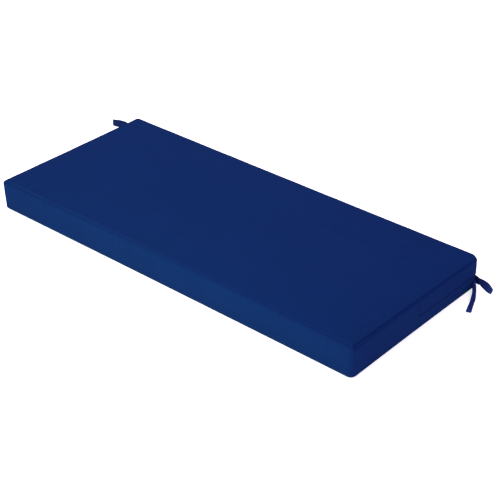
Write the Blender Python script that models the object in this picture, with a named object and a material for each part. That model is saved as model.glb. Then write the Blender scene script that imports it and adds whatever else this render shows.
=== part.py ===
"""A box-edged seat cushion for a garden swing, with two flat cloth ties at each back corner.

Metres, +Z up. The origin is the middle of the underside, which lies flat on Z = 0. +X runs along the cushion
to its right end, -Y is the front, and the back, where the cover's lapped closing runs, is +Y.
"""

import math
from collections import namedtuple

import bmesh
import bpy
from mathutils import Vector

# The cushion's own size, over everything but its ties
LENGTH = 1.050
DEPTH = 0.460
EDGE_HEIGHT = 0.0735
CROWN = 0.006
CROWN_REACH = 0.050

# How the cover is shaped: panels rolled over the foam's edges, boxing swelled between its two seams
FRONT_CORNER_RADIUS = 0.008
BACK_CORNER_RADIUS = 0.021
BASE_CORNER_EXTRA = 0.006
TOP_ROLL = 0.009
BOTTOM_ROLL = 0.004
BOXING_BULGE = 0.0016
CORNER_BULGE_SHARE = 0.2
SIDE_DRAW = 0.0010
SEAM_DEPTH = 0.0014
SEAM_HALF_ANGLE = math.radians(11)

# The lapped closing in the boxing, from a seam half-way along one end, round the back, to the other end
LAP_HEIGHT = 0.035
LAP_STEP = 0.0008
LAP_GROOVE = 0.0012
LAP_HALF_WIDTH = 0.0014
LAP_END_Y = -0.002
END_SEAM_HALF_WIDTH = 0.0022
END_SEAM_DEPTH = 0.0010

# Ties: a strip of the cover's cloth folded to four layers and stitched flat
TIE_WIDTH = 0.0180
FLOOR_TIE_WIDTH = 0.0122
TIE_THICKNESS = 0.0018
SEAT_GAP = 0.0003
TIE_STEP = 0.004

# How finely each side is divided
LONG_STEPS = 18
SHORT_STEPS = 8
CORNER_STEPS = 6

Station = namedtuple("Station", "side fraction angle")
Level = namedtuple("Level", "height out on_boxing")
RoutePoint = namedtuple("RoutePoint", "x y z lean width")


def clear_scene():
    """Removes whatever the file holds."""
    for old in list(bpy.data.objects):
        bpy.data.objects.remove(old, do_unlink=True)


def cloth(name, colour, roughness):
    """A plain cloth material."""
    material = bpy.data.materials.new(name)
    material.use_nodes = True
    shader = material.node_tree.nodes["Principled BSDF"]
    shader.inputs["Base Color"].default_value = (*colour, 1)
    shader.inputs["Roughness"].default_value = roughness
    shader.inputs["Metallic"].default_value = 0
    material.diffuse_color = (*colour, 1)
    return material


def add_object(name, points, faces, material, smooth_angle):
    """One closed mesh, shaded smooth but for its sharp edges."""
    mesh = bpy.data.meshes.new(name)
    mesh.from_pydata(points, [], faces)
    shape = bmesh.new()
    shape.from_mesh(mesh)
    bmesh.ops.recalc_face_normals(shape, faces=shape.faces)
    shape.to_mesh(mesh)
    shape.free()
    mesh.materials.append(material)
    mesh.shade_smooth()
    mesh.set_sharp_from_angle(angle=smooth_angle)
    made = bpy.data.objects.new(name, mesh)
    bpy.context.scene.collection.objects.link(made)
    return made


def corner_radii(side, height):
    """The plan radii at the two ends of a side, in the order that the stations run. They are larger at the base."""
    extra = BASE_CORNER_EXTRA * (1 - height / EDGE_HEIGHT)
    front, back = FRONT_CORNER_RADIUS + extra, BACK_CORNER_RADIUS + extra
    return {"front": (front, front), "right": (front, back), "back": (back, back), "left": (back, front)}[side]


def stations():
    """The places round the cushion, anticlockwise seen from above, that every level of the mesh has a point at."""
    low = FRONT_CORNER_RADIUS - DEPTH / 2 + BOXING_BULGE
    high = DEPTH / 2 - BOXING_BULGE - BACK_CORNER_RADIUS
    seam = [
        (LAP_END_Y + shift - low) / (high - low) for shift in (-END_SEAM_HALF_WIDTH, 0, END_SEAM_HALF_WIDTH)
    ]
    even = [index / SHORT_STEPS for index in range(SHORT_STEPS)]
    right = sorted([value for value in even if min(abs(value - other) for other in seam) > 0.02] + seam)
    left = [0.0] + sorted(1 - value for value in right if value > 0)
    long_side = [index / LONG_STEPS for index in range(LONG_STEPS)]
    found = []
    for turn, (side, fractions) in enumerate(
        (("front", long_side), ("right", right), ("back", long_side), ("left", left))
    ):
        start = math.radians(-90 + 90 * turn)
        found += [Station(side, fraction, start) for fraction in fractions]
        found += [
            Station(side, 1, start + math.radians(90) * step / CORNER_STEPS) for step in range(CORNER_STEPS)
        ]
    return found


def outline_point(station, inset, radii):
    """A station's point on the plan's rounded rectangle drawn in by inset, which way is out there, and how far
    along its side it is, from -1 to 1."""
    half_x = LENGTH / 2 - BOXING_BULGE - inset
    half_y = DEPTH / 2 - BOXING_BULGE - inset
    half_run, half_across = (half_x, half_y) if station.side in ("front", "back") else (half_y, half_x)
    begin = radii[0] - half_run
    finish = half_run - radii[1]
    run = begin + (finish - begin) * station.fraction
    turned = {"front": 0, "right": 90, "back": 180, "left": 270}[station.side]
    radius = radii[1] if station.fraction == 1 else 0
    across = half_across - radius
    side_way = Vector((math.cos(math.radians(turned)), math.sin(math.radians(turned))))
    side_out = Vector((side_way.y, -side_way.x))
    out = Vector((math.cos(station.angle), math.sin(station.angle)))
    return side_way * run + side_out * across + radius * out, out, 2 * station.fraction - 1


def behind_lap_end(point):
    """True on the part of the boxing that the lapped closing runs along."""
    return point.y > LAP_END_Y - END_SEAM_HALF_WIDTH / 2


def boxing_relief(point, height, side):
    """How far the lapped closing and its two end seams move the boxing in or out at a point."""
    relief = 0
    if behind_lap_end(point):
        above = height - LAP_HEIGHT
        if abs(above) < LAP_HALF_WIDTH / 2:
            relief -= LAP_GROOVE
        elif above > 0:
            relief += LAP_STEP * max(0, 1 - above / (EDGE_HEIGHT - TOP_ROLL - LAP_HEIGHT))
    if side in ("right", "left") and abs(point.y - LAP_END_Y) < END_SEAM_HALF_WIDTH / 2:
        relief = min(relief, 0) - END_SEAM_DEPTH
    return relief


def side_levels():
    """The boxing and both rolled edges as seen in a cut across the side, from the underside up."""
    levels = []
    for degrees in (-90, -60, -45, -30, 0):
        angle = math.radians(degrees)
        reach = BOTTOM_ROLL - (SEAM_DEPTH / 2 if degrees == -45 else 0)
        levels.append(
            Level(BOTTOM_ROLL + reach * math.sin(angle), reach * math.cos(angle) - BOTTOM_ROLL, False)
        )
    low = BOTTOM_ROLL
    high = EDGE_HEIGHT - TOP_ROLL
    lap = [LAP_HEIGHT - LAP_HALF_WIDTH, LAP_HEIGHT, LAP_HEIGHT + LAP_HALF_WIDTH]
    for height in (0.010, 0.019, 0.027, *lap, 0.045, 0.055):
        share = (height - low) / (high - low)
        levels.append(Level(height, BOXING_BULGE * math.sin(math.pi * share), True))
    seam = math.radians(45)
    for angle in (0, 0.35, 0.65, seam - SEAM_HALF_ANGLE / 2, seam, seam + SEAM_HALF_ANGLE / 2, 0.98, 1.25):
        reach = TOP_ROLL - (SEAM_DEPTH if angle == seam else 0)
        levels.append(Level(high + reach * math.sin(angle), reach * math.cos(angle) - TOP_ROLL, False))
    return levels


def crown_height(x, y):
    """The top panel's height: it swells within a hand's breadth of the edge and is nearly level between."""
    from_end = LENGTH / 2 - BOXING_BULGE - TOP_ROLL - abs(x)
    from_side = DEPTH / 2 - BOXING_BULGE - TOP_ROLL - abs(y)
    rise = 1
    for distance in (from_end, from_side):
        rise *= 1 - math.exp(-max(distance, 0) / CROWN_REACH)
    return EDGE_HEIGHT + CROWN * rise


def side_ring(level):
    """One level of the boxing or of a rolled edge."""
    ring = []
    for station in stations():
        point, out, along = outline_point(station, 0, corner_radii(station.side, level.height))
        middle = 1 - along * along
        shift = level.out - SIDE_DRAW * middle
        if level.on_boxing:
            shift = level.out * (CORNER_BULGE_SHARE + (1 - CORNER_BULGE_SHARE) * middle) - SIDE_DRAW * middle
            shift += boxing_relief(point, level.height, station.side)
        point = point + shift * out
        ring.append((point.x, point.y, level.height))
    return ring


def top_ring(inset):
    """One ring of the top panel, with corners that grow rounder towards the middle."""
    room = DEPTH / 2 - BOXING_BULGE - inset
    ring = []
    for station in stations():
        radii = [
            min(max(radius - TOP_ROLL, 0.001) + 0.45 * (inset - TOP_ROLL), 0.6 * room)
            for radius in corner_radii(station.side, EDGE_HEIGHT)
        ]
        point, out, along = outline_point(station, inset, radii)
        point = point - SIDE_DRAW * (1 - along * along) * out * min(1, 0.03 / inset)
        ring.append((point.x, point.y, crown_height(point.x, point.y)))
    return ring


def build_cushion(material):
    """The cover filled with its foam, as one body: flat underside, boxing, rolled edges and crowned top."""
    rings = [side_ring(level) for level in side_levels()]
    rings += [top_ring(inset) for inset in (TOP_ROLL, 0.015, 0.025, 0.042, 0.068, 0.105, 0.150, 0.195)]
    count = len(rings[0])
    points = [point for ring in rings for point in ring]
    faces = []
    for level in range(len(rings) - 1):
        for index in range(count):
            after = (index + 1) % count
            low, high = level * count, (level + 1) * count
            faces.append((low + index, low + after, high + after, high + index))
    faces.append(tuple(reversed(range(count))))
    faces.append(tuple(range((len(rings) - 1) * count, len(rings) * count)))
    return add_object("cushion", points, faces, material, math.radians(50))


def smooth_route(route):
    """Points every few millimetres on a smooth curve through a tie's route, with its lean and width between."""
    rows = [Vector(row[:3]) for row in route]
    found = []
    for index in range(len(route) - 1):
        before = rows[max(index - 1, 0)]
        start, end = rows[index], rows[index + 1]
        after = rows[min(index + 2, len(rows) - 1)]
        steps = max(1, round((end - start).length / TIE_STEP))
        for step in range(steps):
            share = step / steps
            pull = (
                (end - before) * share
                + (2 * before - 5 * start + 4 * end - after) * share ** 2
                + (3 * start - before - 3 * end + after) * share ** 3
            )
            lean = route[index].lean + (route[index + 1].lean - route[index].lean) * share
            width = route[index].width + (route[index + 1].width - route[index].width) * share
            found.append((start + pull / 2, lean, width))
    found.append((rows[-1], route[-1].lean, route[-1].width))
    return found


def build_tie(name, route, side, material):
    """A flat cloth strip along its route. A lean of 90 stands it on its edge, and 0 lays it flat."""
    line = smooth_route(route)
    points = []
    for index, (middle, lean, width) in enumerate(line):
        ahead = line[min(index + 1, len(line) - 1)][0] - line[max(index - 1, 0)][0]
        level_across = ahead.cross(Vector((0, 0, 1))).normalized()
        upright = level_across.cross(ahead).normalized()
        tilt = math.radians(lean)
        across = level_across * math.cos(tilt) + upright * math.sin(tilt)
        face = ahead.cross(across).normalized()
        lowest = abs(across.z) * width / 2 + abs(face.z) * TIE_THICKNESS / 2
        middle = Vector((middle.x, middle.y, max(middle.z, lowest)))
        for sideways, through in ((-1, -1), (1, -1), (1, 1), (-1, 1)):
            corner = middle + across * (sideways * width / 2) + face * (through * TIE_THICKNESS / 2)
            points.append((side * corner.x, corner.y, corner.z))
    faces = []
    for index in range(len(line) - 1):
        low = 4 * index
        for edge in range(4):
            after = (edge + 1) % 4
            faces.append((low + edge, low + after, low + 4 + after, low + 4 + edge))
    faces.append((0, 1, 2, 3))
    faces.append(tuple(range(len(points) - 4, len(points))))
    return add_object(name, points, faces, material, math.radians(40))


def tie_routes():
    """Each tie's middle line, from where it is stitched to the back of the boxing to its cut end."""
    boxing = DEPTH / 2 - BOXING_BULGE * (1 - CORNER_BULGE_SHARE)
    inner = boxing + SEAT_GAP + TIE_THICKNESS / 2
    outer = inner + 2 * SEAT_GAP + TIE_THICKNESS
    end = LENGTH / 2
    back = DEPTH / 2
    wide = TIE_WIDTH
    floor_wide = FLOOR_TIE_WIDTH
    rest = TIE_THICKNESS / 2
    right_upper = [
        RoutePoint(end - 0.0520, outer, 0.0150, 90, wide * 0.92),
        RoutePoint(end - 0.0320, outer, 0.0145, 90, wide * 0.92),
        RoutePoint(end - 0.0185, outer - 0.0008, 0.0130, 90, wide * 0.92),
        RoutePoint(end - 0.0100, back - 0.0018, 0.0120, 92, wide * 0.95),
        RoutePoint(end - 0.0030, back - 0.0060, 0.0125, 96, wide * 0.98),
        RoutePoint(end + 0.0035, back - 0.0110, 0.0140, 100, wide * 0.94),
        RoutePoint(end + 0.0100, back - 0.0142, 0.0158, 102, wide * 0.92),
        RoutePoint(end + 0.0170, back - 0.0160, 0.0156, 102, wide * 0.97),
        RoutePoint(end + 0.0250, back - 0.0175, 0.0145, 102, wide * 1.04),
        RoutePoint(end + 0.0330, back - 0.0190, 0.0125, 102, wide * 1.02),
        RoutePoint(end + 0.0395, back - 0.0205, 0.0100, 100, wide * 0.85),
        RoutePoint(end + 0.0430, back - 0.0214, 0.0080, 98, wide * 0.55),
    ]
    floor_tie = [
        RoutePoint(end - 0.0520, inner, 0.0150, 90, floor_wide),
        RoutePoint(end - 0.0300, inner, 0.0145, 90, floor_wide),
        RoutePoint(end - 0.0180, back - 0.0014, 0.0135, 90, floor_wide),
        RoutePoint(end - 0.0090, back - 0.0066, 0.0120, 90, floor_wide),
        RoutePoint(end - 0.0025, back - 0.0150, 0.0105, 86, floor_wide),
        RoutePoint(end + 0.0020, back - 0.0240, 0.0088, 76, floor_wide),
        RoutePoint(end + 0.0072, back - 0.0345, 0.0074, 62, floor_wide),
        RoutePoint(end + 0.0142, back - 0.0466, 0.0064, 57, floor_wide),
        RoutePoint(end + 0.0215, back - 0.0600, 0.0050, 42, floor_wide),
        RoutePoint(end + 0.0262, back - 0.0712, 0.0028, 16, floor_wide),
        RoutePoint(end + 0.0310, back - 0.0838, rest, 0, floor_wide),
        RoutePoint(end + 0.0378, back - 0.0998, rest, 0, floor_wide),
        RoutePoint(end + 0.0418, back - 0.1090, rest, 0, floor_wide * 0.92),
    ]
    left_upper = [
        RoutePoint(end - 0.0520, outer, 0.0190, 90, wide * 0.85),
        RoutePoint(end - 0.0280, outer, 0.0200, 90, wide * 0.85),
        RoutePoint(end - 0.0080, outer + 0.0016, 0.0220, 90, wide * 0.85),
        RoutePoint(end + 0.0150, outer + 0.0034, 0.0240, 90, wide * 0.90),
        RoutePoint(end + 0.0380, outer + 0.0060, 0.0243, 92, wide * 1.02),
        RoutePoint(end + 0.0600, outer + 0.0100, 0.0212, 96, wide * 1.12),
        RoutePoint(end + 0.0780, outer + 0.0140, 0.0170, 100, wide * 1.20),
        RoutePoint(end + 0.0940, outer + 0.0175, 0.0128, 98, wide * 1.13),
        RoutePoint(end + 0.1090, outer + 0.0198, 0.0098, 94, wide * 0.95),
        RoutePoint(end + 0.1210, outer + 0.0210, 0.0078, 90, wide * 0.70),
    ]
    return [
        ("tie_right_upper", right_upper, 1),
        ("tie_right_lower", floor_tie, 1),
        ("tie_left_upper", left_upper, -1),
        ("tie_left_lower", floor_tie, -1),
    ]


clear_scene()
build_cushion(cloth("navy_canvas_cover", (0.0086, 0.0280, 0.1350), 0.85))
for tie_name, tie_route, tie_side in tie_routes():
    build_tie(tie_name, tie_route, tie_side, cloth("navy_canvas_" + tie_name, (0.0080, 0.0250, 0.1180), 0.85))
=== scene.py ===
"""A box-edged seat cushion for a garden swing: a foam slab in a sewn navy canvas cover, with four cloth ties.

Metres, +Z up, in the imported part's frame: the underside lies on Z = 0, +X is the right end and -Y the front.
"""

import math

import bmesh
import bpy
import numpy as np
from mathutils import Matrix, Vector, kdtree


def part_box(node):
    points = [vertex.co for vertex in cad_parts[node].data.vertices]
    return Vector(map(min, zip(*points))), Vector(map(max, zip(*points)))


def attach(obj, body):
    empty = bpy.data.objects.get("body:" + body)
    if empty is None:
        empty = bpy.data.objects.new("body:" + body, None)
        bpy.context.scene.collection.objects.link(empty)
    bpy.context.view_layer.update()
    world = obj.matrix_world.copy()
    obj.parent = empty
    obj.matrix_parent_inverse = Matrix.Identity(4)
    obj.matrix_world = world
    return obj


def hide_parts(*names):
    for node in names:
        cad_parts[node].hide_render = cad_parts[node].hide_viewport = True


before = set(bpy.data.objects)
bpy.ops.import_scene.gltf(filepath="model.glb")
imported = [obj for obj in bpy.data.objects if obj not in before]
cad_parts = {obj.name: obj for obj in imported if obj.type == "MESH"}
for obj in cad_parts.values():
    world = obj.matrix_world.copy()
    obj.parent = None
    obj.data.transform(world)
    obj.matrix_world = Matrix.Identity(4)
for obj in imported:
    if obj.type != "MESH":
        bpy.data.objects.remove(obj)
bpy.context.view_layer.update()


# The filled cover
# A slab of seat foam in a cover of plain-woven polyester canvas: a top panel, a bottom panel and a boxing
# strip, joined by plain seams with their edges turned inside. The foam pushes each one out between its seams,
# so the panels roll over the foam's edges and the top one has a low crown.

cover_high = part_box("cushion")[1]
boxing_swell = 0.0014
end_draw = 0.0010
crown = 0.00585
crown_reach = 0.050
top_roll = 0.009
base_roll = 0.004
front_corner = 0.008
back_corner = 0.021
back_left_corner = 0.012
base_corner_extra = 0.006
half_x = cover_high.x - boxing_swell
half_y = cover_high.y - boxing_swell
edge_height = cover_high.z - crown
panel_inset = 0.034  # where the rings round the edge end and the panel's own grid begins
corner_spread = 0.050

# The lapped closing: the boxing's upper part ends in a fold at this height, from a short seam half-way along
# the right end, round the back, to the same place on the left end. Stitches hold the fold's turning down.
lap_height = 0.035
lap_end_y = -0.002
stitch_height = 0.0437

millimetre = 0.001


def steps_between(length, fine, coarse, growth):
    """Grid lines from 0 to length, close at both ends and evenly wider towards the middle."""
    step, at, half = fine, 0.0, [0.0]
    while at + step < length / 2:
        at += step
        half.append(at)
        step = min(step * growth, coarse)
    half = np.array(half) * (length / 2) / (half[-1] + step / 2)
    return np.concatenate([half, length - half[::-1]])


def ripple(values, wavelengths, seed):
    """An uneven wave of about 1 high along a line, from a few sines of the given wavelengths."""
    dice = np.random.default_rng(seed)
    total = np.zeros_like(values)
    for wavelength in wavelengths:
        total += np.sin(2 * math.pi * (values / wavelength + dice.random())) * dice.uniform(0.5, 1)
    return total / math.sqrt(len(wavelengths))


def rolling(x, y, wavelengths, seed):
    """An uneven wave of about 1 high over a panel, from a few sines that cross at chance angles."""
    dice = np.random.default_rng(seed)
    total = np.zeros_like(x)
    for wavelength in wavelengths:
        turn = dice.uniform(0, math.pi)
        along = x * math.cos(turn) + y * math.sin(turn)
        total += np.sin(2 * math.pi * (along / wavelength + dice.random())) * dice.uniform(0.5, 1)
    return total / math.sqrt(len(wavelengths))


def bump_of(values, centre, width):
    """A soft round ridge, 1 high at its centre."""
    return np.exp(-(((values - centre) / width) ** 2))


def smooth_step(values, start, end):
    share = np.clip((values - start) / (end - start), 0, 1)
    return share * share * (3 - 2 * share)


def crown_at(x, y):
    """How high the top panel stands above its edge: it rises within a hand's breadth, then is nearly level."""
    rise = np.ones_like(x)
    for inside in (half_x - top_roll - np.abs(x), half_y - top_roll - np.abs(y)):
        inside = np.maximum(inside, 0)
        rise *= 1 - np.exp(-inside ** 2 / (crown_reach * (inside + 0.010)))
    return crown * rise


# The panel's grid lines, with a few more where the closing's end seams need them
grid_x = steps_between(2 * (half_x - panel_inset), 0.0010, 0.0062, 1.30) - (half_x - panel_inset)
grid_y = steps_between(2 * (half_y - panel_inset), 0.0010, 0.0062, 1.30) - (half_y - panel_inset)
seam_lines = lap_end_y + np.array([-4.2, -2.6, -1.6, -1.0, -0.5, 0.0, 0.5, 1.0, 1.6, 2.6, 4.2]) * millimetre
clear_of_seam = np.abs(grid_y - lap_end_y) > 0.0062
grid_y = np.sort(np.concatenate([grid_y[clear_of_seam], seam_lines]))
columns, rows = len(grid_x) - 1, len(grid_y) - 1


def stations():
    """Where every ring has its points, anticlockwise from the front left corner: a row for each, with its side,
    its distance along that side of the panel's grid, and that side's length."""
    found = []
    for side, lines in enumerate((grid_x, grid_y, -grid_x[::-1], -grid_y[::-1])):
        for value in lines[:-1]:
            found.append((side, value - lines[0], lines[-1] - lines[0]))
    return np.array(found)


ring = stations()
side_of = ring[:, 0].astype(int)
ring_count = len(ring)
way = np.array([(1, 0), (0, 1), (-1, 0), (0, -1)])[side_of]
outward = np.stack([way[:, 1], -way[:, 0]], axis=1)
half_run = np.array([half_x, half_y, half_x, half_y])[side_of]
half_across = np.array([half_y, half_x, half_y, half_x])[side_of]
corner_at_start = np.array([front_corner, front_corner, back_corner, back_left_corner])[side_of]
corner_at_end = np.array([front_corner, back_corner, back_left_corner, front_corner])[side_of]


def outline(height):
    """The rounded rectangle that the boxing follows at a height: its points, which way is out, and how far
    along its side each one is, from -1 to 1."""
    extra = base_corner_extra * (1 - height / edge_height)
    from_start = ring[:, 1] <= ring[:, 2] / 2
    near = np.where(from_start, ring[:, 1], ring[:, 2] - ring[:, 1])
    radius = np.where(from_start, corner_at_start, corner_at_end) + extra
    spread = panel_inset - radius * (1 - math.pi / 4)
    travelled = near + spread * (1 - np.exp(-near / corner_spread))
    on_corner = travelled < radius * math.pi / 4
    turn = np.where(on_corner, math.pi / 4 - travelled / radius, 0)
    run = np.where(on_corner, -half_run + radius, -half_run + radius + travelled - radius * math.pi / 4)
    across = half_across - radius
    run = (run - radius * np.sin(turn)) * np.where(from_start, 1, -1)
    across = across + radius * np.cos(turn)
    lean = np.sin(turn) * np.where(from_start, -1, 1)
    out = way * lean[:, None] + outward * np.cos(turn)[:, None]
    return way * run[:, None] + outward * across[:, None], out, run / half_run


level_outline, level_out, level_along = outline(edge_height / 2)
girth_steps = np.linalg.norm(np.roll(level_outline, -1, 0) - level_outline, axis=1)
girth = np.concatenate([[0], np.cumsum(girth_steps)])
along_girth = girth[:-1]
mid_side = 1 - level_along ** 2
is_end = (side_of == 1) | (side_of == 3)

# How much of the lapped closing there is at each station, and how near the station is to its end seam
lapped = smooth_step(level_outline[:, 1], lap_end_y - 0.3 * millimetre, lap_end_y + 0.8 * millimetre)
end_seam = np.where(is_end, bump_of(level_outline[:, 1], lap_end_y, 1.0 * millimetre), 0)
from_end_seam = np.abs(level_outline[:, 1] - lap_end_y)
beside_end_seam = np.where(is_end, bump_of(from_end_seam, 2.6 * millimetre, 1.4 * millimetre), 0)


# Where the top seam sits on the roll, in degrees up from the boxing, at places round the cover. It rides high
# along the front and slips down towards the back of the right end.
front_run = girth[columns]
right_run = girth[columns + rows]
back_run = girth[2 * columns + rows]
seam_places = [0, 0.12 * front_run, 0.3 * front_run, 0.5 * front_run, 0.8 * front_run, front_run,
               0.5 * (front_run + right_run), right_run, back_run, girth[-1]]
seam_lean = np.radians(np.interp(along_girth, seam_places, [48, 46, 60, 68, 71, 72, 54, 34, 45, 48]))
on_front = 1 - smooth_step(along_girth, front_run - 0.012, front_run + 0.004)
seam_depth = np.interp(along_girth, seam_places, [0.9, 0.8, 0.6, 0.35, 0.7, 0.9, 0.75, 0.5, 0.8, 0.9])
seam_depth = seam_depth * millimetre
welt_height = (0.45 + 0.35 * (1 - smooth_step(along_girth, 0.25 * front_run, 0.6 * front_run))) * millimetre


def seam_relief(from_seam):
    """How far the cloth stands in or out beside the top seam. The sewn edges turned up inside raise a low welt
    in the panel above it, and the stitches draw the seam itself in."""
    lip_height = 0.22 * millimetre
    drawn = -seam_depth * bump_of(from_seam, 0, 1.5 * millimetre)
    welt = welt_height * bump_of(from_seam, -4.6 * millimetre, 2.2 * millimetre)
    lip = lip_height * bump_of(from_seam, 3.2 * millimetre, 1.6 * millimetre)
    return drawn + welt + lip


# Painted shade lies in the seam's valley, deepest by the front corners and fading in the middle of the front
# and at the back of the right end. A painted highlight lies on the welt beside it along the front, most of all
# on its left part, and painted shade darkens the top panel towards the seam on the ends, where it is drawn
# down.
valley_painted_shade = np.interp(along_girth, seam_places, [0.34, 0.30, 0.16, 0.0, 0.16, 0.27, 0.14, 0.03, 0.2, 0.36])
welt_painted_highlight = np.interp(along_girth, seam_places, [0.25, 0.42, 0.32, 0.20, 0.10, 0.20, 0.0, 0.0, 0.0, 0.0])
drawn_painted_shade = np.interp(along_girth, seam_places, [0.0, 0.0, 0.0, 0.0, 0.0, 0.45, 0.24, 0.02, 0.15, 0.30])


def seam_shade(from_seam):
    """How much painted shade the cloth has beside the top seam: above 0 in the valley and where the panel is
    drawn down to it, and under 0 for the painted highlight on the welt."""
    valley_middle = 1.0 * (1 - on_front) * millimetre
    valley_width = (2.8 - 1.6 * on_front) * millimetre
    valley = valley_painted_shade * bump_of(from_seam, valley_middle, valley_width)
    drawn_down = drawn_painted_shade * (1 - on_front) * np.exp(-np.abs(from_seam) / (9 * millimetre)) * (from_seam < 0)
    painted_highlight = welt_painted_highlight * bump_of(from_seam, -3.8 * millimetre, 2.4 * millimetre)
    return valley + drawn_down - painted_highlight


def pull_lines(from_seam, seed):
    """The small uneven puckers that a row of stitches pulls into the cloth on both sides of it."""
    fine = ripple(along_girth, (0.0115, 0.0173, 0.0271, 0.0410), seed)
    broad = ripple(along_girth, (0.067, 0.109, 0.171), seed + 1)
    near, far = (np.exp(-np.abs(from_seam) / (reach * millimetre)) for reach in (7, 22))
    return (0.10 * fine * near + 0.16 * broad * far) * millimetre


def lap_relief(height):
    """The closing's fold. The flap above it stands proud, and the strip below goes in under it."""
    above = height - lap_height
    flap = 1.0 * millimetre * (0.35 + 0.65 * math.exp(-max(above, 0) / (9 * millimetre)))
    flap *= smooth_step(np.float64(above), 0.0, 0.7 * millimetre)
    under = -1.1 * millimetre * math.exp(-((min(above, 0) + 0.2 * millimetre) / (1.8 * millimetre)) ** 2)
    under *= 1 - smooth_step(np.float64(above), 0.0, 0.6 * millimetre)
    flap -= 0.28 * millimetre * bump_of(height, stitch_height, 0.55 * millimetre)
    top_fade = 1 - smooth_step(np.float64(height), edge_height - top_roll - 0.012, edge_height - top_roll)
    flap_wave = 1 + 0.35 * ripple(along_girth, (0.043, 0.078, 0.131), 41)
    return lapped * (flap * top_fade * flap_wave + under)


ring_points, ring_cloth, ring_up, ring_give, ring_shade = [], [], [], [], []
boxing_levels, boxing_heights = [], []


def add_ring(plan, height, cloth, up, give=0.0, shade=0.0):
    """One ring of the cover: its points, their places on the uncut panel, how far up the boxing it is, which
    way and how much the filling may crease it, and how much painted shade or painted highlight it carries."""
    ring_points.append(np.column_stack([plan, np.broadcast_to(height, ring_count)]))
    ring_cloth.append(cloth)
    ring_up.append(np.broadcast_to(up, ring_count))
    ring_give.append(np.broadcast_to(give, (ring_count, 3)))
    ring_shade.append(np.broadcast_to(shade, ring_count))


panel_corner = way * (ring[:, 1] - ring[:, 2] / 2)[:, None] + outward * (half_across - panel_inset)[:, None]


def add_base():
    """The bottom panel from its grid out to its rolled edge, with the base seam half-way round the roll."""
    plan, out, along = outline(0)
    edge = plan - base_roll * out - end_draw * mid_side[:, None] * out
    for share in (0.0, 0.35, 0.62, 0.82, 0.93):
        flat = panel_corner + (edge - panel_corner) * share
        add_ring(flat, 0.0, flat, 0.0)
    for degrees in (-90, -78, -66, -57, -51, -47, -45, -43, -39, -33, -24, -12, 0):
        angle = math.radians(degrees)
        from_seam = (angle + math.pi / 4) * base_roll
        reach = base_roll - 0.9 * millimetre * bump_of(from_seam, 0, 0.5 * millimetre)
        ring_plan = plan + (reach * math.cos(angle) - base_roll - end_draw * mid_side)[:, None] * out
        rolled = from_seam + math.pi / 4 * base_roll
        # Painted shade in the base seam's groove
        shade = bump_of(from_seam, 0, 0.6 * millimetre)
        add_ring(ring_plan, base_roll + reach * math.sin(angle), edge + rolled * out, from_seam, shade=shade)


def add_boxing():
    """The boxing strip, swelled between its two seams, with the lapped closing and its end seams in it."""
    low, high = base_roll, edge_height - top_roll
    boxing_levels.append(len(ring_points))
    heights = [6.5, 9.5, 13, 16.5, 20, 23.5, 27, 29.5, 31.3, 32.5, 33.3, 33.9, 34.3, 34.6, 34.85, 35.05]
    heights += [35.25, 35.5, 35.8, 36.3, 37, 38, 39.5, 41.5, 42.8, 43.3, 43.7, 44.1, 44.6, 46, 48.5, 52]
    heights += [55.5, 59, 62]
    boxing_heights.extend(heights)
    for height in np.array(heights) * millimetre:
        plan, out, along = outline(height)
        share = (height - low) / (high - low)
        fullness = math.sin(math.pi * share)
        swell = boxing_swell * fullness * (0.2 + 0.8 * mid_side) - end_draw * mid_side
        swell = swell + lap_relief(height) + 0.12 * millimetre * beside_end_seam
        swell = swell - 0.35 * millimetre * end_seam
        swell = swell + pull_lines(high - height + top_roll * seam_lean, 21)
        swell = swell + 0.28 * millimetre * fullness * ripple(along_girth, (0.12, 0.19, 0.31), 51)
        give = np.column_stack([out, np.zeros(ring_count)]) * fullness
        # A painted shadow line just under the closing's fold
        shade = 0.9 * lapped * bump_of(height, lap_height - 1.1 * millimetre, 1.7 * millimetre)
        add_ring(plan + swell[:, None] * out, height, plan, height, give, shade)


def add_top_roll():
    """The cloth rolled over the foam's upper edge, with the top seam part of the way round the roll."""
    beside = np.array([1, 0.88, 0.74, 0.6, 0.47, 0.37, 0.28, 0.21, 0.15, 0.10, 0.06, 0.03])
    for share in np.concatenate([beside, [0], -beside[::-1]]):
        from_seam = share * top_roll * (seam_lean if share > 0 else math.pi / 2 - seam_lean)
        angle = seam_lean - from_seam / top_roll
        level = edge_height - top_roll + top_roll * np.sin(angle)
        plan, out, along = outline(edge_height - 0.5 * top_roll)
        reach = top_roll + seam_relief(from_seam) + pull_lines(from_seam, 21)
        shift = reach * np.cos(angle) - top_roll - end_draw * mid_side
        rolled = top_roll * (math.pi / 2 - angle - 1)
        up = level + (1 - np.cos(angle)) * top_roll
        raised = edge_height - top_roll + reach * np.sin(angle)
        shade = seam_shade(from_seam)
        add_ring(plan + shift[:, None] * out, raised, plan + rolled[:, None] * out, up, shade=shade)


def add_top_edge():
    """The top panel's edge, from the roll in to its own grid."""
    plan, out, along = outline(edge_height)
    edge = plan - (top_roll + end_draw * mid_side)[:, None] * out
    for share in (0.07, 0.14, 0.22, 0.31, 0.41, 0.52, 0.66, 0.83, 1.0):
        flat = edge + (panel_corner - edge) * share
        from_seam = -share * (panel_inset - top_roll) - top_roll * (math.pi / 2 - seam_lean)
        height = edge_height + crown_at(flat[:, 0], flat[:, 1])
        height = height + pull_lines(from_seam, 21) + seam_relief(from_seam)
        add_ring(flat, height, flat, edge_height, (0, 0, share), seam_shade(from_seam))


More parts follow.
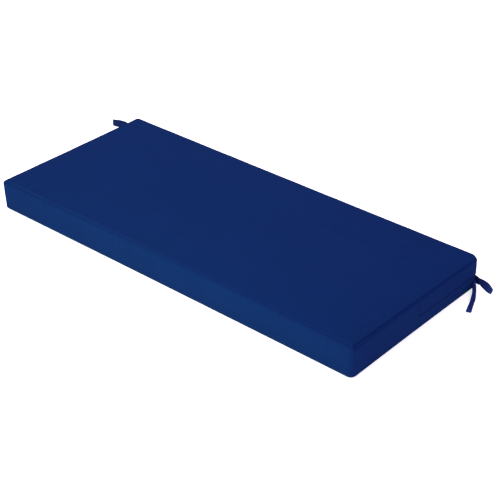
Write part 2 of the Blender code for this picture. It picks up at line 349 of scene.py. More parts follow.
add_base()
base_seam = 11
add_boxing()
add_top_roll()
top_seam = len(ring_points) - 13
add_top_edge()
grid_columns, grid_rows = np.meshgrid(grid_x[1:-1], grid_y[1:-1], indexing="ij")
grid_plan = np.column_stack([grid_columns.ravel(), grid_rows.ravel()])
top_grid = np.column_stack([grid_plan, edge_height + crown_at(grid_plan[:, 0], grid_plan[:, 1])])
base_grid = np.column_stack([grid_plan, np.zeros(len(grid_plan))])
cover_points = np.concatenate([*ring_points, base_grid, top_grid])
cover_give = np.concatenate([*ring_give, np.zeros_like(base_grid), np.tile((0, 0, 1.0), (len(top_grid), 1))])
cover_shade = np.concatenate([*ring_shade, np.zeros(2 * len(grid_plan))])


def pressed_folds(node, voxel, pressure, frames, smoothing):
    """Where the filling creases the cover. A copy of the solid is remeshed evenly and run as slightly slack
    cloth under pressure, with its seams and underside held. Returns its points and how far each one stands off
    the broad swell."""
    solid = bmesh.new()
    solid.from_mesh(node.data)
    bmesh.ops.remove_doubles(solid, verts=solid.verts, dist=0.01 * millimetre)
    mesh = bpy.data.meshes.new("skin")
    solid.to_mesh(mesh)
    solid.free()
    skin = bpy.data.objects.new("skin", mesh)
    bpy.context.scene.collection.objects.link(skin)
    even = skin.modifiers.new("even", "REMESH")
    even.mode = "VOXEL"
    even.voxel_size = voxel
    seen = skin.evaluated_get(bpy.context.evaluated_depsgraph_get())
    skin.data = bpy.data.meshes.new_from_object(seen)
    skin.modifiers.remove(even)
    rest = np.array([vertex.co for vertex in skin.data.vertices])
    facing = np.array([vertex.normal for vertex in skin.data.vertices])
    from_edge = np.minimum(half_x - np.abs(rest[:, 0]), half_y - np.abs(rest[:, 1]))
    seam_level = edge_height - top_roll * (1 - math.sin(math.pi / 4))
    on_seam = (np.abs(rest[:, 2] - seam_level) < 0.6 * voxel) & (from_edge < voxel)
    held = skin.vertex_groups.new(name="sewn")
    held.add(np.flatnonzero(on_seam | (rest[:, 2] < 0.8 * voxel)).tolist(), 1.0, "REPLACE")
    canvas = skin.modifiers.new("canvas", "CLOTH")
    canvas.settings.quality = 5
    canvas.settings.mass = 0.25
    canvas.settings.bending_stiffness = 0.6
    canvas.settings.shrink_min = -0.006
    canvas.settings.use_pressure = True
    canvas.settings.uniform_pressure_force = pressure
    canvas.settings.vertex_group_mass = held.name
    canvas.settings.effector_weights.gravity = 0
    for step in range(1, frames + 1):
        bpy.context.scene.frame_set(step)
    seen = skin.evaluated_get(bpy.context.evaluated_depsgraph_get())
    ended = np.array([vertex.co for vertex in seen.data.vertices])
    bpy.context.scene.frame_set(1)
    edges = np.array([edge.vertices[:] for edge in skin.data.edges])
    bpy.data.objects.remove(skin)
    push = ((ended - rest) * facing).sum(1)
    one_way, other_way = edges[:, 0], edges[:, 1]
    neighbours = 1 + np.bincount(edges.ravel(), minlength=len(rest))
    broad = push
    for _ in range(smoothing):
        total = np.bincount(one_way, broad[other_way], len(rest))
        total = total + np.bincount(other_way, broad[one_way], len(rest))
        broad = (broad + total) / neighbours
    return rest, push - broad


def carried_over(rest, folds, points):
    """The folds at other points, from the four nearest that were simulated."""
    tree = kdtree.KDTree(len(rest))
    for index, place in enumerate(rest):
        tree.insert(place, index)
    tree.balance()
    found = np.zeros(len(points))
    for index, place in enumerate(points):
        near = tree.find_n(place, 4)
        weights = [1 / (distance + 0.2 * millimetre) for _, _, distance in near]
        found[index] = sum(weight * folds[item[1]] for weight, item in zip(weights, near)) / sum(weights)
    return found


def grid_corner(column, row, first_ring, first_inner):
    """The index of a grid corner, which is on a ring where it is on the grid's rim."""
    if row == 0 and column < columns:
        return first_ring + column
    if column == columns and row < rows:
        return first_ring + columns + row
    if row == rows and column > 0:
        return first_ring + columns + rows + (columns - column)
    if column == 0:
        return first_ring + 2 * columns + rows + (rows - row)
    return first_inner + (column - 1) * (rows - 1) + row - 1


def cover_mesh():
    """The whole cover as one closed mesh, with each panel's place on the uncut cloth in its UV map."""
    faces, cloth = [], []
    for level in range(len(ring_points) - 1):
        on_boxing = base_seam <= level < top_seam
        for index in range(ring_count):
            after = (index + 1) % ring_count
            faces.append([level * ring_count + index, level * ring_count + after,
                          (level + 1) * ring_count + after, (level + 1) * ring_count + index])
            if on_boxing:
                low, high = ring_up[level], ring_up[level + 1]
                cloth += [(girth[index], low[index]), (girth[index + 1], low[after]),
                          (girth[index + 1], high[after]), (girth[index], high[index])]
            else:
                cloth += [tuple(ring_cloth[level][index]), tuple(ring_cloth[level][after]),
                          tuple(ring_cloth[level + 1][after]), tuple(ring_cloth[level + 1][index])]
    first_inner = len(ring_points) * ring_count
    for first_ring, inner, turned in (
        (0, first_inner, True), (first_inner - ring_count, first_inner + len(base_grid), False)
    ):
        for column in range(columns):
            for row in range(rows):
                corners = [(column, row), (column + 1, row), (column + 1, row + 1), (column, row + 1)]
                corners = corners[::-1] if turned else corners
                faces.append([grid_corner(*corner, first_ring, inner) for corner in corners])
                cloth += [(grid_x[corner[0]], grid_y[corner[1]]) for corner in corners]
    mesh = bpy.data.meshes.new("cover")
    mesh.from_pydata(cover_points.tolist(), [], faces)
    mesh.uv_layers.new(name="cloth").data.foreach_set("uv", np.array(cloth, np.float32).ravel())
    mesh.attributes.new("painted_shade_and_highlight", "FLOAT", "POINT").data.foreach_set("value", cover_shade.astype(np.float32))
    mesh.shade_smooth()
    return mesh


# The foam under the top panel is never quite level, and the cloth keeps faint creases from the filling
uneven = 0.22 * millimetre * rolling(cover_points[:, 0], cover_points[:, 1], (0.24, 0.17, 0.13, 0.097), 31)
cover_points = cover_points + cover_give * (cover_give[:, 2:] * uneven[:, None])
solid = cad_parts["cushion"]
skin_points, folds = pressed_folds(solid, voxel=0.006, pressure=4, frames=20, smoothing=60)
fold_cap = 2 * millimetre
fold_share = 0.12
creases = np.clip(carried_over(skin_points, folds, cover_points), -fold_cap, fold_cap)
cover_points = cover_points + fold_share * creases[:, None] * cover_give


def linear(colour):
    """An sRGB hex colour as linear light."""
    light = []
    for place in (1, 3, 5):
        value = int(colour[place:place + 2], 16) / 255
        light.append(value / 12.92 if value <= 0.04045 else ((value + 0.055) / 1.055) ** 2.4)
    return (*light, 1.0)


def add_node(tree, kind, settings, sockets):
    """Adds a node with its settings, and fills its sockets with values or joins them to other nodes."""
    node = tree.nodes.new(kind)
    for name, value in settings.items():
        setattr(node, name, value)
    for name, value in sockets.items():
        if isinstance(value, bpy.types.NodeSocket):
            tree.links.new(value, node.inputs[name])
        else:
            node.inputs[name].default_value = value
    return node


def woven_canvas(name, worn_side, deep_side, painted_shade_colour, painted_highlight_colour, thread_spacing, slub_width,
                 slub_length):
    """Plain-woven, solution-dyed polyester canvas: matt, a little deeper in tone between its threads, with long
    faint slubs where a thread runs thicker, both ways of the cloth. Its colour carries painted shade where the
    painted_shade_and_highlight attribute is above 0, and a painted highlight where it is below 0."""
    material = bpy.data.materials.new(name)
    material.use_nodes = True
    tree = material.node_tree
    tree.nodes.clear()
    cloth = add_node(tree, "ShaderNodeUVMap", {"uv_map": "cloth"}, {})
    place = add_node(tree, "ShaderNodeSeparateXYZ", {}, {"Vector": cloth.outputs["UV"]})
    rows_of_threads = []
    for axis in ("X", "Y"):
        turns = add_node(tree, "ShaderNodeMath", {"operation": "MULTIPLY"},
                         {0: place.outputs[axis], 1: math.pi / thread_spacing})
        rows_of_threads.append(add_node(tree, "ShaderNodeMath", {"operation": "SINE"},
                                        {0: turns.outputs["Value"]}))
    warp, weft = rows_of_threads
    crossing = add_node(tree, "ShaderNodeMath", {"operation": "MULTIPLY"},
                        {0: warp.outputs["Value"], 1: weft.outputs["Value"]})
    pillow = add_node(tree, "ShaderNodeMath", {"operation": "ABSOLUTE"}, {0: crossing.outputs["Value"]})
    slubs = []
    for scale in ((1 / slub_width, 1 / slub_length, 1), (1 / slub_length, 1 / slub_width, 1)):
        stretched = add_node(tree, "ShaderNodeMapping", {}, {"Vector": cloth.outputs["UV"], "Scale": scale})
        slubs.append(add_node(tree, "ShaderNodeTexNoise", {"noise_dimensions": "2D"},
                              {"Vector": stretched.outputs["Vector"], "Scale": 1.0, "Detail": 2.0,
                               "Roughness": 0.6}))
    both = add_node(tree, "ShaderNodeMath", {"operation": "ADD"},
                    {0: slubs[0].outputs["Fac"], 1: slubs[1].outputs["Fac"]})
    dye_place = add_node(tree, "ShaderNodeTexCoord", {}, {})
    dye = add_node(tree, "ShaderNodeTexNoise", {},
                   {"Vector": dye_place.outputs["Object"], "Scale": 7.0, "Detail": 3.0, "Roughness": 0.55})
    tone = add_node(tree, "ShaderNodeMath", {"operation": "ADD"},
                    {0: both.outputs["Value"], 1: dye.outputs["Fac"]})
    tone = add_node(tree, "ShaderNodeMath", {"operation": "MULTIPLY_ADD"},
                    {0: pillow.outputs["Value"], 1: 0.5, 2: tone.outputs["Value"]})
    share = add_node(tree, "ShaderNodeMapRange", {},
                     {"Value": tone.outputs["Value"], "From Min": 1.1, "From Max": 2.3})
    body = add_node(tree, "ShaderNodeMix", {"data_type": "RGBA"},
                    {0: share.outputs["Result"], 6: linear(deep_side), 7: linear(worn_side)})
    # Painted shade and painted highlight: above 0 the attribute takes the colour towards the painted shade
    # colour, below 0 towards the painted highlight colour.
    valley = add_node(tree, "ShaderNodeAttribute", {"attribute_name": "painted_shade_and_highlight"}, {})
    shaded = add_node(tree, "ShaderNodeMix", {"data_type": "RGBA"},
                      {0: valley.outputs["Fac"], 6: body.outputs[2], 7: linear(painted_shade_colour)})
    welt = add_node(tree, "ShaderNodeMath", {"operation": "MULTIPLY"}, {0: valley.outputs["Fac"], 1: -1.0})
    painted_highlight = add_node(tree, "ShaderNodeMix", {"data_type": "RGBA"},
                      {0: welt.outputs["Value"], 6: shaded.outputs[2], 7: linear(painted_highlight_colour)})
    height = add_node(tree, "ShaderNodeMath", {"operation": "MULTIPLY_ADD"},
                      {0: pillow.outputs["Value"], 1: 0.7, 2: both.outputs["Value"]})
    relief = add_node(tree, "ShaderNodeBump", {},
                      {"Height": height.outputs["Value"], "Strength": 1.0, "Distance": 0.10 * millimetre})
    surface = add_node(tree, "ShaderNodeBsdfPrincipled", {},
                       {"Base Color": painted_highlight.outputs[2], "Normal": relief.outputs["Normal"],
                        "Roughness": 0.85, "Specular IOR Level": 0.015})
    add_node(tree, "ShaderNodeOutputMaterial", {}, {"Surface": surface.outputs["BSDF"]})
    return material


# The threads are about 0.55 mm apart. They are drawn twice as wide, and the slubs wider still, to show.
# Its third colour is the painted shade in the seams and under the closing's flap, and its fourth the painted
# highlight on the front welt.
cover_canvas = woven_canvas("navy_polyester_canvas", "#08244F", "#072048", "#051434", "#122A54",
                            1.1 * millimetre, 5 * millimetre, 160 * millimetre)
cover = bpy.data.objects.new("cover", cover_mesh())
cover.data.materials.append(cover_canvas)
bpy.context.scene.collection.objects.link(cover)
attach(cover, "root")
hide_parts("cushion")


def sewing_tree():
    """Geometry Nodes that lay stitches end to end along rows, each a short bead sunk in the cloth."""
    tree = bpy.data.node_groups.new("rows_of_stitches", "GeometryNodeTree")
    tree.interface.new_socket("Rows", in_out="INPUT", socket_type="NodeSocketGeometry")
    for size in ("Pitch", "Stitch Length", "Thread Width"):
        tree.interface.new_socket(size, in_out="INPUT", socket_type="NodeSocketFloat")
    tree.interface.new_socket("Thread", in_out="INPUT", socket_type="NodeSocketMaterial")
    tree.interface.new_socket("Stitches", in_out="OUTPUT", socket_type="NodeSocketGeometry")
    given = add_node(tree, "NodeGroupInput", {}, {}).outputs
    line = add_node(tree, "GeometryNodeMeshToCurve", {}, {"Mesh": given["Rows"]})
    places = add_node(tree, "GeometryNodeResampleCurve", {"mode": "LENGTH"},
                      {"Curve": line.outputs["Curve"], "Length": given["Pitch"]})
    along = add_node(tree, "GeometryNodeInputTangent", {}, {})
    turn = add_node(tree, "FunctionNodeAlignRotationToVector", {"axis": "Z"},
                    {"Vector": along.outputs["Tangent"]})
    bead = add_node(tree, "GeometryNodeMeshUVSphere", {}, {"Segments": 6, "Rings": 4, "Radius": 0.5})
    size = add_node(tree, "ShaderNodeCombineXYZ", {},
                    {"X": given["Thread Width"], "Y": given["Thread Width"], "Z": given["Stitch Length"]})
    stitches = add_node(tree, "GeometryNodeInstanceOnPoints", {},
                        {"Points": places.outputs["Curve"], "Instance": bead.outputs["Mesh"],
                         "Rotation": turn.outputs["Rotation"], "Scale": size.outputs["Vector"]})
    solid = add_node(tree, "GeometryNodeRealizeInstances", {}, {"Geometry": stitches.outputs["Instances"]})
    dyed = add_node(tree, "GeometryNodeSetMaterial", {},
                    {"Geometry": solid.outputs["Geometry"], "Material": given["Thread"]})
    add_node(tree, "NodeGroupOutput", {}, {"Stitches": dyed.outputs["Geometry"]})
    return tree


def sewn_rows(name, rows, pitch, stitch_length, thread_width, thread):
    """Stitches along rows of points, as one plain mesh."""
    points, edges = [], []
    for row in rows:
        edges += [(len(points) + place, len(points) + place + 1) for place in range(len(row) - 1)]
        points += [tuple(point) for point in row]
    mesh = bpy.data.meshes.new(name)
    mesh.from_pydata(points, edges, [])
    sewn = bpy.data.objects.new(name, mesh)
    bpy.context.scene.collection.objects.link(sewn)
    sewing = sewn.modifiers.new("sewing", "NODES")
    sewing.node_group = sewing_tree()
    given = {"Pitch": pitch, "Stitch Length": stitch_length, "Thread Width": thread_width, "Thread": thread}
    for socket in sewing.node_group.interface.items_tree:
        if socket.name in given:
            sewing[socket.identifier] = given[socket.name]
    seen = sewn.evaluated_get(bpy.context.evaluated_depsgraph_get())
    sewn.data = bpy.data.meshes.new_from_object(seen)
    sewn.modifiers.remove(sewing)
    sewn.data.shade_smooth()
    return sewn


def spun_thread(name, lit_side, deep_side, ply):
    """Spun polyester sewing thread: dyed like the canvas, a little smoother than it, with a fine twist."""
    material = bpy.data.materials.new(name)
    material.use_nodes = True
    tree = material.node_tree
    tree.nodes.clear()
    place = add_node(tree, "ShaderNodeTexCoord", {}, {})
    twist = add_node(tree, "ShaderNodeTexNoise", {},
                     {"Vector": place.outputs["Object"], "Scale": 1 / ply, "Detail": 1.0, "Roughness": 0.5})
    body = add_node(tree, "ShaderNodeMix", {"data_type": "RGBA"},
                    {0: twist.outputs["Fac"], 6: linear(deep_side), 7: linear(lit_side)})
    relief = add_node(tree, "ShaderNodeBump", {},
                      {"Height": twist.outputs["Fac"], "Strength": 0.6, "Distance": 0.05 * millimetre})
    surface = add_node(tree, "ShaderNodeBsdfPrincipled", {},
                       {"Base Color": body.outputs[2], "Normal": relief.outputs["Normal"],
                        "Roughness": 0.6, "Specular IOR Level": 0.12})
    add_node(tree, "ShaderNodeOutputMaterial", {}, {"Surface": surface.outputs["BSDF"]})
    return material


# One row runs along the flap from end seam to end seam, and down to the fold beside each of them
navy_thread = spun_thread("navy_polyester_thread", "#0C2A5C", "#081D45", 0.4 * millimetre)
behind = np.flatnonzero(level_outline[:, 1] > lap_end_y + 2.4 * millimetre)
first_rung, last_rung = 36, 43.7
rungs = [boxing_levels[0] + level for level, height in enumerate(boxing_heights)
         if first_rung <= height <= last_rung]
flap_row = [(level, behind[0]) for level in rungs] + [(rungs[-1], place) for place in behind[1:-1]]
flap_row += [(level, behind[-1]) for level in rungs[::-1]]
stitch_stand = 0.06 * millimetre
flap_stitches = [cover_points[level * ring_count + place] + stitch_stand * np.append(level_out[place], 0)
                 for level, place in flap_row]
flap_pitch = 3.2 * millimetre
flap_stitch_length = 2.6 * millimetre
thread_width = 0.42 * millimetre
closing_stitches = sewn_rows("closing_stitches", [flap_stitches], flap_pitch, flap_stitch_length,
                             thread_width, navy_thread)
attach(closing_stitches, "root")


# The four ties
# Strips of the same canvas, turned in along one edge, folded double and stitched close to both edges and across
# the tip. Two are sewn on one over the other near each back corner, and their free ends lie loose.

tie_width = 0.0180
floor_tie_width = 0.0122
tie_thickness = 0.0018
tip_corner = 0.0032
stitch_inset = 0.0022
sewn_length = 0.020

# A painted highlight makes a tie paler towards its tip, and painted light lifts the shade where it turns round
# the cover's corner
tip_painted_highlight = 0.45
tip_highlight_length = 0.022
turn_painted_light = 0.42
turn_place = 0.062
turn_length = 0.009

seat_gap = 0.0003
end = 0.525
back = 0.230
boxing_back = 0.22872
inner_layer = boxing_back + seat_gap + tie_thickness / 2
outer_layer = inner_layer + 2 * seat_gap + tie_thickness
on_floor = tie_thickness / 2

# Each row is a place on the tie's middle line, its lean there (90 stands it on its edge) and its width
right_upper_route = [
    (end - 0.0520, outer_layer, 0.0150, 90, 0.92 * tie_width),
    (end - 0.0320, outer_layer, 0.0145, 90, 0.92 * tie_width),
    (end - 0.0185, outer_layer - 0.0008, 0.0130, 90, 0.92 * tie_width),
    (end - 0.0100, back - 0.0018, 0.0120, 92, 0.95 * tie_width),
    (end - 0.0030, back - 0.0060, 0.0125, 96, 0.98 * tie_width),
    (end + 0.0035, back - 0.0110, 0.0155, 100, 0.84 * tie_width),
    (end + 0.0100, back - 0.0142, 0.0176, 106, 0.80 * tie_width),
    (end + 0.0170, back - 0.0160, 0.0176, 110, 0.93 * tie_width),
    (end + 0.0250, back - 0.0175, 0.0158, 112, 1.01 * tie_width),
    (end + 0.0330, back - 0.0190, 0.0131, 110, 1.02 * tie_width),
    (end + 0.0395, back - 0.0205, 0.0110, 104, 0.92 * tie_width),
    (end + 0.0448, back - 0.0219, 0.0093, 98, 0.76 * tie_width),
]
floor_route = [
    (end - 0.0520, inner_layer, 0.0150, 90, floor_tie_width),
    (end - 0.0300, inner_layer, 0.0145, 90, floor_tie_width),
    (end - 0.0180, back - 0.0014, 0.0135, 90, floor_tie_width),
    (end - 0.0090, back - 0.0066, 0.0120, 90, floor_tie_width),
    (end - 0.0004, back - 0.0170, 0.0121, 79, 1.02 * floor_tie_width),
    (end + 0.0047, back - 0.0287, 0.0120, 54, 1.08 * floor_tie_width),
    (end + 0.0100, back - 0.0381, 0.0096, 46, 1.06 * floor_tie_width),
    (end + 0.0163, back - 0.0478, 0.0068, 46, floor_tie_width),
    (end + 0.0228, back - 0.0603, 0.0050, 42, 1.03 * floor_tie_width),
    (end + 0.0272, back - 0.0712, 0.0028, 16, 0.84 * floor_tie_width),
    (end + 0.0319, back - 0.0838, on_floor, 0, 0.90 * floor_tie_width),
    (end + 0.0383, back - 0.0998, on_floor, 0, 0.99 * floor_tie_width),
    (end + 0.0423, back - 0.1092, on_floor, 0, 1.04 * floor_tie_width),
]
# The left lower one goes the same way, but round a tighter corner of the cover
left_floor_route = [
    (end - 0.0520, inner_layer, 0.0150, 90, floor_tie_width),
    (end - 0.0300, inner_layer, 0.0145, 90, floor_tie_width),
    (end - 0.0150, inner_layer + 0.0003, 0.0138, 90, floor_tie_width),
    (end - 0.0058, back - 0.0018, 0.0125, 90, floor_tie_width),
    (end - 0.0006, back - 0.0075, 0.0116, 90, floor_tie_width),
    (end + 0.0024, back - 0.0168, 0.0112, 84, floor_tie_width),
    (end + 0.0060, back - 0.0280, 0.0112, 60, 1.04 * floor_tie_width),
] + floor_route[6:]
left_upper_route = [
    (end - 0.0520, outer_layer, 0.0190, 90, 0.85 * tie_width),
    (end - 0.0280, outer_layer, 0.0200, 90, 0.85 * tie_width),
    (end - 0.0080, outer_layer + 0.0016, 0.0220, 90, 0.85 * tie_width),
    (end + 0.0150, outer_layer + 0.0034, 0.0240, 90, 0.90 * tie_width),
    (end + 0.0380, outer_layer + 0.0060, 0.0243, 92, 1.02 * tie_width),
    (end + 0.0600, outer_layer + 0.0100, 0.0233, 98, 1.06 * tie_width),
    (end + 0.0780, outer_layer + 0.0140, 0.0193, 104, 1.08 * tie_width),
    (end + 0.0940, outer_layer + 0.0175, 0.0150, 106, 1.08 * tie_width),
    (end + 0.1090, outer_layer + 0.0198, 0.0108, 103, 1.02 * tie_width),
    (end + 0.1225, outer_layer + 0.0211, 0.0086, 98, 0.97 * tie_width),
]


def tie_line(route, step):
    """Frames along a tie: its middle, the way across, the way out of its face, its width and the distance."""
    rows = np.array(route)
    sharing = []
    for index in range(len(rows) - 1):
        before, start, after = rows[max(index - 1, 0)], rows[index], rows[index + 1]
        beyond = rows[min(index + 2, len(rows) - 1)]
        fine = step / 4 if index == len(rows) - 2 else step
        count = max(1, round(np.linalg.norm(after[:3] - start[:3]) / fine))
        for share in np.arange(count) / count:
            pull = (after - before) * share + (2 * before - 5 * start + 4 * after - beyond) * share ** 2
            pull += (3 * start - before - 3 * after + beyond) * share ** 3
            point = start + pull / 2
            point[3:] = start[3:] + (after[3:] - start[3:]) * share
            sharing.append(point)
    sharing.append(rows[-1])
    sharing = np.array(sharing)
    frames, travelled = [], 0.0
    for index, row in enumerate(sharing):
        ahead = Vector(sharing[min(index + 1, len(sharing) - 1)][:3] - sharing[max(index - 1, 0)][:3])
        level_across = ahead.cross(Vector((0, 0, 1))).normalized()
        upright = level_across.cross(ahead).normalized()
        lean = math.radians(row[3])
        across = level_across * math.cos(lean) + upright * math.sin(lean)
        face = ahead.cross(across).normalized()
        lowest = abs(across.z) * row[4] / 2 + abs(face.z) * tie_thickness / 2
        middle = Vector((row[0], row[1], max(row[2], lowest)))
        if frames:
            travelled += (middle - frames[-1][0]).length
        frames.append((middle, across, face, row[4], travelled))
    return frames


def tie_section(width):
    """The tie's cross-section: its distance across and through at each point, anticlockwise. The stitches press
    a channel into both faces, the folded edge is round, and the other edge shows its two turned-in lips."""
    half = width / 2
    thick = tie_thickness / 2
    beside = np.array([0.30, 0.75, 1.3, 1.8, 2.2, 2.7, 3.3]) * millimetre * min(1, half / (5 * millimetre))
    inner = np.linspace(-(half - beside[-1]), half - beside[-1], 5)[1:-1]
    across = np.concatenate([-half + beside, inner, half - beside[::-1]])
    from_edge = half - np.abs(across)
    rounding = np.sqrt(np.clip(1 - np.clip(1 - from_edge / (0.9 * millimetre), 0, 1) ** 2, 0, 1))
    channel = 0.30 * bump_of(from_edge, 2.2 * millimetre, 0.55 * millimetre)
    dip = 0.10 * bump_of(from_edge, 4.2 * millimetre, 1.6 * millimetre)
    depth = thick * rounding * (1 - channel) * (1 - dip)
    lips = [(half - 0.02 * millimetre, -0.48 * thick), (half - 0.10 * millimetre, -0.14 * thick),
            (half - 0.55 * millimetre, 0), (half - 0.10 * millimetre, 0.14 * thick),
            (half - 0.02 * millimetre, 0.48 * thick)]
    fold = [(-half + 0.05 * millimetre, 0.42 * thick), (-half, 0), (-half + 0.05 * millimetre, -0.42 * thick)]
    under = list(zip(across, -depth))
    over = list(zip(across[::-1], depth[::-1]))
    return under + lips + over + fold


def tie_mesh(name, route, side, seed, tone):
    """One tie as a closed strip along its route. Its tip's corners are turned in round and its free part waves.
    Its tone sets the painted shade over the whole tie, and painted light makes its tip and its turn round the
    cover's corner paler than the rest."""
    frames = tie_line(route, 0.0018)
    length = frames[-1][4]
    travelled = np.array([row[4] for row in frames])
    wave = 0.22 * millimetre * ripple(travelled, (0.016, 0.027, 0.043), seed)
    wave *= smooth_step(travelled, sewn_length + 0.008, sewn_length + 0.030)
    sections, cloth, painted_light = [], [], []
    seams = {(edge, over): [] for edge in (-1, 1) for over in (-1, 1)}
    for index, (middle, across, face, width, at) in enumerate(frames):
        to_tip = (length - at) / (1.2 * millimetre)
        closing = math.sqrt(max(0, 1 - max(0, 1 - to_tip) ** 2))
        tip = max(0.35, closing)
        tip_row = 1 - 0.25 * float(bump_of(np.float64(length - at), 2.4 * millimetre, 0.6 * millimetre))
        short = max(0.0, tip_corner - (length - at))
        width -= 2 * (tip_corner - math.sqrt(tip_corner ** 2 - short ** 2))
        middle = middle + face * wave[index]
        for (edge, over), seam in seams.items():
            if length - at >= stitch_inset:
                inward = across * edge * (width / 2 - stitch_inset)
                seam.append(middle + inward + face * over * 0.40 * tie_thickness)
        for sideways, through in tie_section(width):
            point = middle + across * sideways + face * through * tip * tip_row
            sections.append((side * point.x, point.y, max(point.z, 0.0)))
            cloth.append((sideways, at))
            painted_highlight = tip_painted_highlight * math.exp(-(length - at) / tip_highlight_length)
            painted_highlight += turn_painted_light * float(bump_of(np.float64(at), turn_place, turn_length))
            painted_light.append(tone - painted_highlight)
    around = len(tie_section(tie_width))
    faces = []
    for index in range(len(frames) - 1):
        for edge in range(around):
            after = (edge + 1) % around
            faces.append([index * around + edge, index * around + after,
                          (index + 1) * around + after, (index + 1) * around + edge])
    faces.append(list(range(around))[::-1])
    faces.append(list(range(len(sections) - around, len(sections))))
    if side < 0:
        faces = [face[::-1] for face in faces]
    mesh = bpy.data.meshes.new(name)
    mesh.from_pydata(sections, [], faces)
    places = [cloth[corner.vertex_index] for corner in mesh.loops]
    mesh.uv_layers.new(name="cloth").data.foreach_set("uv", np.array(places, np.float32).ravel())
    mesh.attributes.new("painted_shade_and_highlight", "FLOAT", "POINT").data.foreach_set("value", np.array(painted_light, np.float32))
    mesh.shade_smooth()
    rows = []
    for over in (-1, 1):
        row = seams[-1, over] + seams[1, over][::-1]
        clear = [point.z > 0.6 * millimetre for point in row]
        starts = [place for place in range(len(row)) if clear[place] and (place == 0 or not clear[place - 1])]
        for start in starts:
            stop = next((place for place in range(start, len(row)) if not clear[place]), len(row))
            if stop - start > 2:
                rows.append([(side * point.x, point.y, point.z) for point in row[start:stop]])
    return mesh, length, rows


# The ties' canvas was cut from the same bolt. Its colours are painted lighter than the cover's to make up for
# the shade the ties lie in; its third colour is their painted shade and its fourth their painted highlight.
tie_canvas = woven_canvas("navy_canvas_tie", "#142654", "#12234C", "#03173B", "#2A4984",
                          1.1 * millimetre, 3 * millimetre, 60 * millimetre)
tie_rows = []
# Each tie's last number is its painted shade, above 0 darker and below 0 paler: the left upper tie is painted
# deepest, standing in for the shade it hangs in.
for name, route, side, held, seed, tone in (
    ("tie_right_upper", right_upper_route, 1, "hung", 61, 0.08),
    ("tie_right_lower", floor_route, 1, "laid", 62, -0.02),
    ("tie_left_upper", left_upper_route, -1, "hung", 63, 0.66),
    ("tie_left_lower", left_floor_route, -1, "laid", 64, 0.2),
):
    mesh, length, rows = tie_mesh(name, route, side, seed, tone)
    tie_rows += rows
    mesh.materials.append(tie_canvas)
    tie = bpy.data.objects.new("sewn_" + name, mesh)
    bpy.context.scene.collection.objects.link(tie)
    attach(tie, "root")
    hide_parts(name)

# A crossed box of stitches fixes each pair's sewn ends to the boxing
box_level = outer_layer + 0.46 * tie_thickness
box_start, box_stop = end - 0.0495, end - 0.0345
box_half_height = 0.0050
for side, box_middle in ((1, 0.0148), (-1, 0.0194)):
    left, right, low, high = box_start, box_stop, box_middle - box_half_height, box_middle + box_half_height
    corners = [(left, low), (right, high), (left, high), (right, low)]
    for start, stop in ((0, 1), (2, 3), (0, 2), (3, 1)):
        tie_rows.append([(side * corners[place][0], box_level, corners[place][1]) for place in (start, stop)])
tie_pitch = 2.8 * millimetre
tie_stitch_length = 2.3 * millimetre
tie_stitches = sewn_rows("tie_stitches", tie_rows, tie_pitch, tie_stitch_length, thread_width, navy_thread)
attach(tie_stitches, "root")


# The studio
# A pale floor lit from beneath, a soft box in front of the cushion and a bigger one overhead, and the room's
# own light. The boxes' green and the room's violet come out neutral together. The backdrop is plain white.

def studio_floor(reach, below):
    """A pale matt board, lit from beneath as well, so that it photographs almost white."""
    mesh = bpy.data.meshes.new("studio_floor")
    corners = [(x * reach, y * reach, -below) for x, y in ((-1, -1), (1, -1), (1, 1), (-1, 1))]
    mesh.from_pydata(corners, [], [(0, 1, 2, 3)])
    board = bpy.data.materials.new("backlit_matt_board")
    board.use_nodes = True
    board.node_tree.nodes.clear()
    surface = add_node(board.node_tree, "ShaderNodeBsdfPrincipled", {},
                       {"Base Color": linear("#F4F4F4"), "Roughness": 0.9, "Specular IOR Level": 0.0,
                        "Emission Color": linear("#EAFFEC"), "Emission Strength": 0.67})
    add_node(board.node_tree, "ShaderNodeOutputMaterial", {}, {"Surface": surface.outputs["BSDF"]})
    mesh.materials.append(board)
    floor = bpy.data.objects.new("studio_floor", mesh)
    bpy.context.scene.collection.objects.link(floor)


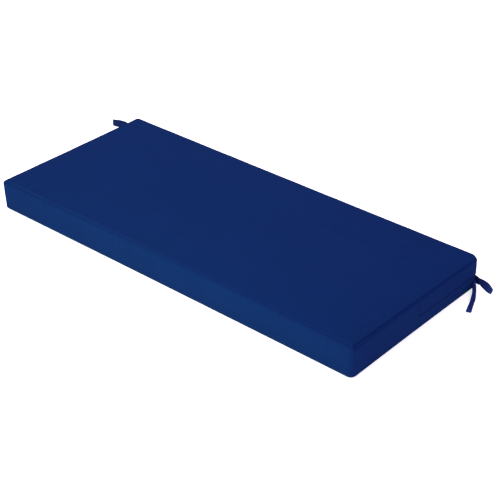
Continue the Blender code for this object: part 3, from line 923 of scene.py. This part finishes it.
def soft_box(name, toward, distance, width, height, power, colour):
    """A wide soft light that faces the middle of the cushion from a direction."""
    data = bpy.data.lights.new(name, "AREA")
    data.shape = "RECTANGLE"
    data.size = width
    data.size_y = height
    data.energy = power
    data.color = linear(colour)[:3]
    light = bpy.data.objects.new(name, data)
    light.location = Vector(toward).normalized() * distance
    light.rotation_euler = Vector(toward).to_track_quat("Z", "Y").to_euler()
    bpy.context.scene.collection.objects.link(light)


studio_floor(reach=6.0, below=0.0002)
soft_box("front_soft_box", toward=(-0.03, -0.88, 0.48), distance=1.4, width=0.8, height=0.8,
         power=15.8, colour="#F4FFD6")
soft_box("top_soft_box", toward=(-0.36, 0.28, 0.90), distance=2.0, width=1.5, height=1.3,
         power=22.6, colour="#D1FFD9")
world = bpy.data.worlds.new("room")
world.use_nodes = True
world.node_tree.nodes.clear()
room = add_node(world.node_tree, "ShaderNodeBackground", {},
                {"Color": linear("#F5BFFF"), "Strength": 1.21})
backdrop = add_node(world.node_tree, "ShaderNodeBackground", {},
                    {"Color": linear("#FFFFFF"), "Strength": 1.0})
ray = add_node(world.node_tree, "ShaderNodeLightPath", {}, {})
seen = add_node(world.node_tree, "ShaderNodeMixShader", {},
                {0: ray.outputs["Is Camera Ray"], 1: room.outputs["Background"],
                 2: backdrop.outputs["Background"]})
add_node(world.node_tree, "ShaderNodeOutputWorld", {}, {"Surface": seen.outputs["Shader"]})
bpy.context.scene.world = world
bpy.context.scene.view_settings.view_transform = "Standard"

camera_data = bpy.data.cameras.new("camera")
camera_data.lens = 95.414
camera_data.sensor_width = 36
camera_data.dof.use_dof = False
camera = bpy.data.objects.new("camera", camera_data)
bpy.context.scene.collection.objects.link(camera)
azimuth, elevation = math.radians(40.946), math.radians(31.576)
aim = Vector((0.0501, 0.0119, -0.0018))
camera_distance = 3.0235
level = math.cos(elevation)
to_camera = Vector((math.sin(azimuth) * level, -math.cos(azimuth) * level, math.sin(elevation)))
camera.location = aim + to_camera * camera_distance
camera.rotation_euler = to_camera.to_track_quat("Z", "Y").to_euler()
bpy.context.scene.camera = camera
